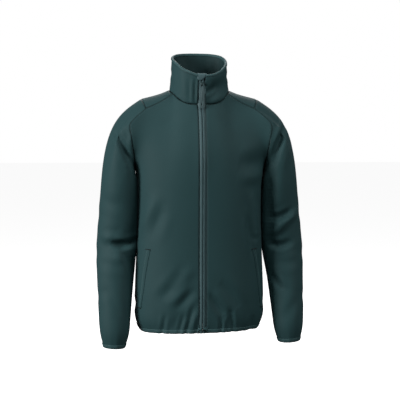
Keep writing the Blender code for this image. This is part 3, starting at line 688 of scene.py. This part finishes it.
# The sleeves. Each is one length of fleece sewn into a tube, set into the armhole, slack at the
# elbow and gathered lightly into its cuff. The right one swells toward the trunk (its first row).
# Columns: view, start, middle, end (sideways and height, mm), depth, width (mm).
SLEEVE_CREASES = {
    "right": (
        ("left", (0, -130), (0, -300), (-12, -480), -3.4, 60),
        ("front", (-250, -104), (-226, -146), (-196, -212), 8.0, 8),
        ("front", (-202, -118), (-206, -146), (-200, -176), -2.4, 7),
        ("front", (-258, -428), (-226, -448), (-176, -420), 9.0, 9),
        ("front", (-236, -446), (-212, -462), (-186, -520), 5.0, 12),
        ("front", (-290, -406), (-256, -432), (-214, -404), -3.6, 12),
        ("front", (-288, -300), (-262, -322), (-226, -322), 1.8, 16),
        ("front", (-280, -560), (-256, -590), (-232, -640), 1.8, 13),
        ("front", (-296, -480), (-262, -500), (-220, -496), 2.0, 13),
        ("right", (-60, -440), (-20, -462), (30, -470), 1.4, 14),
        ("right", (-50, -340), (-10, -360), (40, -356), 1.2, 16),
        ("right", (-70, -560), (-34, -590), (4, -590), 1.2, 13),
        ("back", (-276, -430), (-240, -462), (-206, -458), 3.4, 13),
        ("back", (-284, -520), (-250, -546), (-214, -532), 2.8, 13),
        ("back", (-262, -130), (-232, -170), (-206, -212), 3.0, 13),
    ),
    "left": (
        ("front", (252, -88), (228, -130), (208, -204), 9.0, 8),
        ("front", (206, -190), (200, -310), (206, -450), 7.0, 14),
        ("front", (240, -82), (222, -112), (202, -150), -3.0, 8),
        ("front", (270, -120), (250, -160), (236, -220), -2.6, 12),
        ("front", (204, -362), (234, -362), (264, -340), 6.0, 9),
        ("front", (296, -334), (250, -372), (204, -412), -5.0, 10),
        ("front", (204, -438), (234, -450), (268, -428), 6.0, 9),
        ("front", (210, -524), (224, -548), (238, -572), 5.0, 8),
        ("front", (292, -480), (262, -500), (222, -486), 2.0, 13),
        ("front", (290, -590), (262, -620), (240, -660), 1.8, 13),
        ("left", (-60, -450), (-20, -470), (30, -476), 1.4, 14),
        ("left", (-50, -330), (-10, -352), (40, -350), 1.2, 16),
        ("left", (-70, -570), (-34, -600), (4, -600), 1.2, 13),
        ("back", (276, -440), (240, -470), (206, -466), 3.4, 13),
        ("back", (284, -530), (250, -556), (214, -540), 2.8, 13),
        ("back", (262, -130), (232, -170), (206, -212), 3.0, 13),
    ),
}
SLEEVE_EDGE = 5.5 * MM
sleeves = {}
for side, creases in SLEEVE_CREASES.items():
    sleeve = fleece_piece("sleeve_" + side, creases, levels=2, long_edge=SLEEVE_EDGE)
    sleeves[side] = sleeve


# The collar. A stand of two layers of fleece: an outer one and a lining that shows through the neck,
# in the shade. The lining's greens are painted darker for that shade. The front of the stand is
# slack and folds softly beside the zip.
# Columns: view, start, middle, end (sideways and height, mm), depth, width (mm).
COLLAR_CREASES = (
    ("front", (-33, 44), (-33, 8), (-34, -30), 1.6, 7),
    ("front", (-19, 40), (-20, 8), (-20, -32), 4.0, 5),
    ("front", (-54, 60), (-52, 20), (-52, -14), -1.2, 8),
    ("front", (2, 8), (46, 8), (88, 34), 8.0, 17),
    ("front", (11, -2), (22, 2), (40, 22), 4.5, 6),
    ("front", (14, -18), (34, -12), (52, 4), 1.6, 7),
    ("front", (-78, 92), (-76, 60), (-74, 26), -1.6, 4),
    ("front", (72, 82), (70, 50), (66, 14), 1.8, 7),
    ("back", (-50, 100), (-44, 60), (-46, 28), 1.8, 9),
    ("back", (38, 102), (36, 62), (46, 30), 1.8, 9),
    ("back", (-20, 50), (8, 42), (34, 48), 1.6, 8),
    ("right", (-40, 62), (-10, 54), (26, 60), 1.6, 8),
    ("left", (-40, 50), (-8, 46), (26, 56), 1.6, 8),
)
# The lining is the same fleece; its darker greens are painted shade.
LINING_SHADED_COLOUR = (0.0110, 0.0390, 0.0410)
LINING_SHADED_LIGHT = (0.0140, 0.0460, 0.0490)
NECK_SEAM_HEIGHTS = (-1.0, 0.022)
outer_collar = fleece_piece("collar_outer", COLLAR_CREASES, sewn=NECK_SEAM_HEIGHTS)
shaded_lining_finish = fleece_finish("lining_painted_shade", LINING_SHADED_COLOUR, LINING_SHADED_LIGHT)
inner_collar = fleece_piece("collar_inner", COLLAR_CREASES, sewn=None, finish=shaded_lining_finish)


# The bindings. A knitted elastic strip is folded over the cloth's edge at collar, hem and cuffs
# and sewn through with one row of stitches.
BINDING_COLOUR = (0.0380, 0.0980, 0.1040)
BINDING_LIGHT = (0.0460, 0.1140, 0.1210)
BINDING_WALL = 0.9 * MM
BINDING_CLOUD = 40
RIB_SCALE = 1100
# How high the row of stitches lies over the strip (mm).
THREAD_RISE = 0.1


def binding_finish():
    made, shader, place = new_finish("binding", roughness=0.62, sheen=0.06, specular=0.3)
    knit = place.node("ShaderNodeTexVoronoi", {}, {"Vector": place, "Scale": RIB_SCALE})
    cloud = noise(place, BINDING_CLOUD)
    feed(shader, "Base Color", mix_colours(cloud, BINDING_COLOUR, BINDING_LIGHT))
    feed_bump(shader, knit, 0.3, 0.3 * MM)
    return made


BINDING = binding_finish()


def bound_edge(name, node, runs, section, ring=False):
    """A strip folded over an edge. The section's columns: out of the cloth, off its edge (mm)."""
    parts = [np.concatenate(part) for part in zip(*runs)]
    if ring:
        parts = [np.concatenate([part, part[:1]]) for part in parts]
    points, normals, ways = parts
    rows = [
        [point + normal * a * MM + way * b * MM for a, b in section]
        for point, normal, way in zip(points, normals, ways)
    ]
    mesh = lofted(rows)
    if ring:
        bmesh.ops.remove_doubles(mesh, verts=mesh.verts, dist=MERGE)
    piece = new_piece(name, mesh, BINDING)
    give_wall(piece, BINDING_WALL)
    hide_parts(node)
    out, off = section[STITCHED_POINT]
    line = points + normals * (out + THREAD_RISE) * MM + ways * off * MM
    stitched("stitching_" + name, [(line, normals)])


def ordered(run, ascending):
    """A run turned so that X goes up or down along it."""
    if (run[0][0][0] < run[0][-1][0]) == ascending:
        return run
    return [part[::-1] for part in run]


# The fold, from the cloth's outer face round its edge to its inner face. Columns: out, off (mm).
EDGE_SECTION = (
    (0.9, -3.2), (1.3, -1.8), (1.5, 1.0), (1.4, 4.5), (1.0, 7.4), (0.0, 9.0),
    (-1.4, 9.2), (-2.9, 7.8), (-3.5, 4.5), (-3.5, 1.0), (-3.2, -1.8), (-2.8, -3.2),
)
COLLAR_SECTION = (
    (0.9, -1.8), (1.6, -1.2), (1.9, 0.5), (1.6, 2.4), (0.8, 3.9), (-0.9, 4.8),
    (-2.4, 5.0), (-4.0, 4.6), (-5.4, 3.2), (-5.9, 1.0), (-5.7, -1.6), (-5.2, -2.8),
)
STITCHED_POINT = 1
# Boxes (mm) round the edges that are bound: at hem and cuffs, and along the collar's top.
HEM_SIDE = (10, 200, -200, 200, -700, -670)
HEM_BACK = (-200, -200, -700), (200, 200, -670)
CUFF_SIDE = (180, 320, -120, 60, -760, -690)
COLLAR_TOP = (-100, -100, 46.5), (100, 100, 130)
hem_runs = [
    ordered(edge_run(fronts["right"], *on_side("right", *HEM_SIDE)), False),
    ordered(edge_run(back, *HEM_BACK), True),
    ordered(edge_run(fronts["left"], *on_side("left", *HEM_SIDE)), False),
]
bound_edge("hem_binding", "hem_edge", hem_runs, EDGE_SECTION)
for side in ("right", "left"):
    runs = [edge_run(sleeves[side], *on_side(side, *CUFF_SIDE))]
    bound_edge("cuff_binding_" + side, "cuff_" + side, runs, EDGE_SECTION, ring=True)
top_runs = [edge_run(outer_collar, *COLLAR_TOP)]
bound_edge("collar_binding", "collar_edge", top_runs, COLLAR_SECTION)


# The zip. Two woven tapes with their coil turned to the inside, so that only a thin dark line
# shows where they meet. The cloth's edges are sewn over them.
TAPE_COLOUR = (0.0640, 0.1300, 0.1420)
TAPE_LIGHT = (0.0780, 0.1540, 0.1680)
TAPE_WALL = 0.7 * MM
TAPE_CLOUD = 60
WEAVE_SCALE = 950
# Across each tape, from the middle out, over the tape's solid: the wearer's right one lies high
# and the left one sinks under the cloth. Columns: off the middle, out (mm).
TAPE_PROFILES = {
    "right": (
        (0.05, -2.6), (0.5, -2.5), (1.2, -1.8), (1.8, 0.2), (2.4, 0.8), (4.2, 1.0), (6.4, 0.7),
        (8.2, 0.0), (10.0, -1.5), (12.5, -2.4),
    ),
    "left": (
        (0.05, -2.6), (0.5, -2.5), (1.2, -1.8), (1.8, 0.2), (2.4, 0.8), (3.6, 0.8), (4.8, -0.2),
        (6.0, -1.8), (8.2, -2.7), (10.4, -2.7), (12.5, -2.6),
    ),
}
# The coil's loops lie to the right and left of the middle by turns, behind the gap.
COIL_DEPTH = 4.6 * MM
COIL_PITCH = 2.4 * MM
COIL_SIDE = 1.3 * MM
COIL_TURN = (4.4 * MM, 1.5 * MM, 1.5 * MM, 1.0)
COIL_COLOUR = (0.012, 0.032, 0.034)
COIL_GRAIN = 300


def tape_finish():
    made, shader, place = new_finish("zip_tape", roughness=0.6, sheen=0.05)
    sockets = {"Vector": place, "Scale": WEAVE_SCALE, "Distortion": 0.4}
    weave = place.node("ShaderNodeTexWave", {"bands_direction": "Z"}, sockets, output=1)
    cloud = noise(place, TAPE_CLOUD)
    feed(shader, "Base Color", mix_colours(cloud, TAPE_COLOUR, TAPE_LIGHT))
    feed_bump(shader, weave, 0.25, 0.2 * MM)
    return made


def coil_finish():
    made, shader, place = new_finish("zip_coil", roughness=0.35)
    cloud = noise(place, COIL_GRAIN, detail=1.0)
    feed(shader, "Base Color", mix_colours(cloud, COIL_COLOUR, lighter(COIL_COLOUR, 1.6)))
    return made


TAPE = tape_finish()
COIL = coil_finish()


def zip_line():
    """The middle line of the zip, and the way out of it, from the tape's solid."""
    mesh = loose_skin("zip_tape_left")
    edge = [tuple(vertex.co) for vertex in mesh.verts if vertex.co.x < 2 * MM]
    mesh.free()
    line = np.array(sorted(edge, key=lambda spot: spot[2])) * np.array([0.0, 1.0, 1.0])
    run = np.gradient(line, axis=0)
    out = np.stack([np.zeros(len(line)), -run[:, 2], run[:, 1]], axis=1)
    return line, out / np.linalg.norm(out, axis=1, keepdims=True)


middle_line, middle_out = zip_line()
for side, way in (("right", -1), ("left", 1)):
    rows = [
        [
            spot + np.array([way * off * MM, 0, 0]) + out * rise * MM
            for off, rise in TAPE_PROFILES[side]
        ]
        for spot, out in zip(middle_line, middle_out)
    ]
    mesh = lofted(rows)
    if way > 0:
        bmesh.ops.reverse_faces(mesh, faces=mesh.faces)
    tape = new_piece("tape_" + side, mesh, TAPE)
    smoothed(tape, 2)
    give_wall(tape, TAPE_WALL)
    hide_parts("zip_tape_" + side)

coil_mesh = bmesh.new()
coil_along = lengths(middle_line)
for number in range(int(coil_along[-1] / COIL_PITCH)):
    place = (number + 0.5) * COIL_PITCH
    sunk = at_length(place, coil_along, middle_out) * COIL_DEPTH
    aside = Vector((COIL_SIDE if number % 2 else -COIL_SIDE, 0, 0))
    spot = at_length(place, coil_along, middle_line) - sunk + aside
    turned = Matrix.Diagonal(COIL_TURN) @ Matrix.Rotation(math.pi / 2, 4, "Y")
    matrix = Matrix.Translation(spot) @ turned
    bmesh.ops.create_uvsphere(coil_mesh, u_segments=6, v_segments=4, radius=0.5, matrix=matrix)
coil = new_piece("zip_coil", coil_mesh, COIL)


# The garage. A scrap of cloth is folded over the zip's top end and cut away on one side for the
# slider. It takes the tape's paler finish as painted light, for the light its face catches. Its two
# long edges roll in by 1.5 mm.
GARAGE_WALL = 1.2 * MM
GARAGE_COLUMNS = 9
GARAGE_ROLL = 1.5
ROLL_SHARPNESS = 6
# From inside the collar over its top and down in front. Columns: down from the top, out of the
# tape, right edge, left edge (mm).
GARAGE_PATH = (
    (7.0, -6.6, -11.0, 11.0),
    (2.0, -7.2, -12.0, 12.0),
    (-1.2, -5.4, -12.6, 12.8),
    (-2.2, -2.6, -13.0, 13.4),
    (-1.6, 0.6, -13.2, 14.2),
    (0.8, 2.2, -13.4, 14.8),
    (5.0, 2.6, -13.2, 12.4),
    (9.5, 2.5, -12.8, 8.0),
    (14.0, 2.2, -12.0, 3.0),
    (16.5, 1.2, -10.5, -0.5),
)
top_spot, top_out = middle_line[-1], middle_out[-1]
top_down = middle_line[-2] - top_spot
top_down /= np.linalg.norm(top_down)
rows = []
for down, out, near, far in GARAGE_PATH:
    row = []
    for share in np.linspace(0, 1, GARAGE_COLUMNS):
        roll = GARAGE_ROLL * abs(2 * share - 1) ** ROLL_SHARPNESS
        spot = top_spot + top_down * down * MM + top_out * (out - math.copysign(roll, out)) * MM
        row.append(spot + np.array([(near + (far - near) * share) * MM, 0, 0]))
    rows.append(row)
garage_mesh = lofted(rows)
bmesh.ops.reverse_faces(garage_mesh, faces=garage_mesh.faces)
# Painted light: the garage takes the tape's paler finish for the light on its face.
garage = new_piece("garage", garage_mesh, TAPE)
smoothed(garage, 2)
give_wall(garage, GARAGE_WALL)
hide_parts("zip_garage")


# The slider and its pull. A small painted casting runs on the coil, with a loop on its face. A
# long pale tab of matte plastic hangs from the loop, with a rib down it and a hole at its foot.
CAST_COLOUR = (0.022, 0.052, 0.056)
CAST_LIGHT = (0.034, 0.074, 0.078)
TAB_COLOUR = (0.078, 0.132, 0.142)
TAB_LIGHT = (0.092, 0.152, 0.162)
CAST_GRAIN = 700
TAB_GRAIN = 500
SLIDER_BODY = (9.0 * MM, 3.2 * MM, 12.0 * MM)
SLIDER_EDGE = 1.2 * MM
# The body narrows downward, from 2 mm above its middle over 8 mm, by a fifth.
TAPER_START = 2 * MM
TAPER_RUN = 8 * MM
TAPER_LOSS = 0.2
# The loop's middle stands off the body's face. It runs past half a turn at both ends.
LOOP_STAND = 2.0 * MM
LOOP_RADII = (2.35 * MM, 2.35 * MM)
LOOP_OVERRUN = 0.55
LOOP_SECTION = (1.5 * MM, 0.65 * MM)
TAB_EDGE = 0.45 * MM
RIB_SIZE = (4.6 * MM, 1.6 * MM, 30 * MM)
RIB_EDGE = 0.7 * MM
RIB_DROP = 33 * MM
EYELET_DROP = 58 * MM
# Up the tab and across it.
EYELET_RADII = (5.5 * MM, 3.3 * MM)
EYELET_SECTION = (0.65 * MM, 0.65 * MM)


def hard_finish(name, dark, light, roughness, grain):
    made, shader, place = new_finish(name, roughness)
    feed(shader, "Base Color", mix_colours(noise(place, grain), dark, light))
    feed_bump(shader, noise(place, grain * 4, detail=1.0), 0.12, 0.1 * MM)
    return made


CAST = hard_finish("slider_paint", CAST_COLOUR, CAST_LIGHT, 0.38, CAST_GRAIN)
MOULDED = hard_finish("pull_plastic", TAB_COLOUR, TAB_LIGHT, 0.5, TAB_GRAIN)


def round_edges(mesh, edges, radius):
    bmesh.ops.bevel(
        mesh, geom=edges, offset=radius, segments=3, profile=0.5, affect="EDGES", material=-1,
        clamp_overlap=True,
    )


def add_block(mesh, size, centre, radius):
    """A block with its edges rounded, added to a mesh."""
    block = bmesh.ops.create_cube(mesh, size=1.0)["verts"]
    bmesh.ops.scale(mesh, verts=block, vec=size)
    bmesh.ops.translate(mesh, verts=block, vec=centre)
    edges = dict.fromkeys(edge for vertex in block for edge in vertex.link_edges)
    round_edges(mesh, list(edges), radius)


def add_tube(mesh, centre, axes, radii, turns, section, sides):
    """A closed tube round an ellipse, or round a part of one, added to a mesh.

    The axes say where a turn starts, which way it goes, and what lies across both. The section's
    two radii lie across, and along the ray from the centre.
    """
    start, toward, across = np.array(axes, float)
    rows = []
    for turn in turns:
        first, second = start * math.cos(turn), toward * math.sin(turn)
        spot = np.array(centre) + first * radii[0] + second * radii[1]
        wide, high = across * section[0], (first + second) * section[1]
        angles = np.linspace(0, 2 * math.pi, sides + 1)
        rows.append([spot + wide * math.cos(angle) + high * math.sin(angle) for angle in angles])
    tube = lofted(rows)
    bmesh.ops.remove_doubles(tube, verts=tube.verts, dist=MERGE)
    bmesh.ops.holes_fill(tube, edges=[edge for edge in tube.edges if edge.is_boundary], sides=0)
    bmesh.ops.recalc_face_normals(tube, faces=tube.faces)
    scrap = bpy.data.meshes.new("scrap")
    tube.to_mesh(scrap)
    tube.free()
    mesh.from_mesh(scrap)
    bpy.data.meshes.remove(scrap)


RIGHTWARD, BACKWARD, UPWARD = (1, 0, 0), (0, 1, 0), (0, 0, 1)
slider_low, slider_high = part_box("zip_slider")
slider_height = (slider_low[2] + slider_high[2]) / 2
slider_back = slider_high[1]
slider_mesh = bmesh.new()
slider_centre = (0.0, slider_back - SLIDER_BODY[1] / 2, slider_height)
add_block(slider_mesh, SLIDER_BODY, slider_centre, SLIDER_EDGE)
for vertex in slider_mesh.verts:
    low_share = (slider_height + TAPER_START - vertex.co.z) / TAPER_RUN
    vertex.co.x *= 1 - TAPER_LOSS * min(1.0, max(0.0, low_share))
loop_centre = (0.0, slider_back - SLIDER_BODY[1] - LOOP_STAND, slider_height)
loop_axes = ((0, -1, 0), UPWARD, RIGHTWARD)
half_turn = math.pi / 2 + LOOP_OVERRUN
loop_turns = np.linspace(-half_turn, half_turn, 17)
add_tube(slider_mesh, loop_centre, loop_axes, LOOP_RADII, loop_turns, LOOP_SECTION, 10)
slider = new_piece("slider", slider_mesh, CAST)
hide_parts("zip_slider")

tab_mesh = bmesh.new()
tab_mesh.from_mesh(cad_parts["zip_pull"].data)
bmesh.ops.remove_doubles(tab_mesh, verts=tab_mesh.verts, dist=MERGE)
bmesh.ops.dissolve_limit(
    tab_mesh, angle_limit=math.radians(2), verts=tab_mesh.verts, edges=tab_mesh.edges
)
sharp = [edge for edge in tab_mesh.edges if edge.calc_face_angle(0) > math.radians(50)]
round_edges(tab_mesh, sharp, TAB_EDGE)
tab_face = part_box("zip_pull")[0][1]
add_block(tab_mesh, RIB_SIZE, (0.0, tab_face, slider_height - RIB_DROP), RIB_EDGE)
eyelet_centre = (0.0, tab_face, slider_height - EYELET_DROP)
eyelet_axes = (UPWARD, RIGHTWARD, BACKWARD)
eyelet_turns = np.linspace(0, 2 * math.pi, 33)
add_tube(tab_mesh, eyelet_centre, eyelet_axes, EYELET_RADII, eyelet_turns, EYELET_SECTION, 8)
tab = new_piece("pull_tab", tab_mesh, MOULDED, body="pull")
tab.data.set_sharp_from_angle(angle=math.radians(40))
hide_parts("zip_pull")


# The side pockets. A welt of fleece is sewn along each pocket's mouth, with a closed zip beside
# it, and a bar of stitches holds each end.
WELT_WALL = 1.2 * MM
POCKET_ROWS = 60
# Across a strip, of which both ends dip into the panel. Columns: share of its width from the zip
# side, height over the panel (mm).
WELT_PROFILE = (
    (0.0, -0.9), (0.03, 0.6), (0.12, 1.5), (0.35, 1.9), (0.65, 1.9), (0.88, 1.5), (1.0, 0.1),
)
POCKET_ZIP_PROFILE = (
    (0.0, -0.2), (0.15, 0.5), (0.38, 0.9), (0.47, 0.8), (0.5, -0.2),
    (0.53, 0.8), (0.62, 0.9), (0.85, 0.5), (1.0, -0.6),
)
END_DIP = -0.9
POCKET_SOLID_ROWS = 15
POCKET_STITCH = 2.2 * MM
BAR_COLOUR = (0.0040, 0.0110, 0.0120)
BAR_LENGTH = 22 * MM
BAR_ROWS = 4
BAR_SPACING = 0.7 * MM
BAR_INSET = 1.5 * MM
BAR_PITCH = 2.2 * MM
BAR_STITCH = 2.4 * MM
# Along a bar, from the zip side: how high its thread lies over the panel (mm).
BAR_LIFTS = (2.3, 2.3, 2.3, 2.3, 1.5, 1.2, 0.6, 0.1, 0.1)
BAR_THREAD = thread_finish("bar_thread", BAR_COLOUR)


def resampled(points, count):
    """The same line through a number of evenly spaced points."""
    along = lengths(points)
    places = np.linspace(0, along[-1], count)
    return np.stack([np.interp(places, along, points[:, axis]) for axis in range(3)], axis=1)


def strip_lanes(node):
    """The two long edges of a pocket strip's solid, from its foot up."""
    mesh = loose_skin(node)
    spots = np.array(sorted((tuple(vertex.co) for vertex in mesh.verts), key=lambda spot: spot[2]))
    mesh.free()
    rows = spots.reshape(POCKET_SOLID_ROWS, -1, 3)
    rows = np.array([sorted(row, key=lambda spot: abs(spot[0])) for row in rows])
    return [resampled(rows[:, lane], POCKET_ROWS) for lane in (0, -1)]


def strip_on(name, node, panel, profile, finish, wall):
    """A strip laid on a panel: each of its points stands off the panel's own face."""
    tree = surface_tree(panel)
    near, far = strip_lanes(node)
    rows = []
    for number in range(POCKET_ROWS):
        at_end = number in (0, POCKET_ROWS - 1)
        row = []
        for share, height in profile:
            spot = Vector(near[number] * (1 - share) + far[number] * share)
            place, out, _, _ = tree.find_nearest(spot)
            row.append(place + out * (END_DIP if at_end else height) * MM)
        rows.append(row)
    mesh = lofted(rows)
    mesh.normal_update()
    if sum(face.normal.y for face in mesh.faces) > 0:
        bmesh.ops.reverse_faces(mesh, faces=mesh.faces)
    piece = new_piece(name, mesh, finish)
    smoothed(piece, 1)
    give_wall(piece, wall)
    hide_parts(node)
    return piece, tree, near, far


for side in ("right", "left"):
    panel = fronts[side]
    node = "pocket_" + side
    welt, tree, near, far = strip_on("welt_" + side, node, panel, WELT_PROFILE, FLEECE, WELT_WALL)
    name, node = "pocket_tape_" + side, "pocket_zip_" + side
    closed, *_ = strip_on(name, node, panel, POCKET_ZIP_PROFILE, BINDING, TAPE_WALL)
    outward = (far - near) / np.linalg.norm(far - near, axis=1, keepdims=True)
    hits = [tree.find_nearest(Vector(spot)) for spot in near - outward * POCKET_STITCH]
    line = [np.array([hit[part] for hit in hits]) for part in (0, 1)]
    stitched("stitching_pocket_" + side, [line])
    bar_mesh = bmesh.new()
    for end, way in ((0, 1), (-1, -1)):
        for number in range(BAR_ROWS):
            start = near[end] + np.array([0, 0, way * (number * BAR_SPACING + BAR_INSET)])
            shares = np.linspace(0, 1, len(BAR_LIFTS))
            spots = [start + outward[end] * BAR_LENGTH * share for share in shares]
            hits = [tree.find_nearest(Vector(spot)) for spot in spots]
            line = np.array([hit[0] + hit[1] * lift * MM for hit, lift in zip(hits, BAR_LIFTS)])
            normals = np.array([hit[1] for hit in hits])
            add_stitches(bar_mesh, line, normals, BAR_PITCH, BAR_STITCH)
    bars = new_piece("bars_pocket_" + side, bar_mesh, BAR_THREAD)
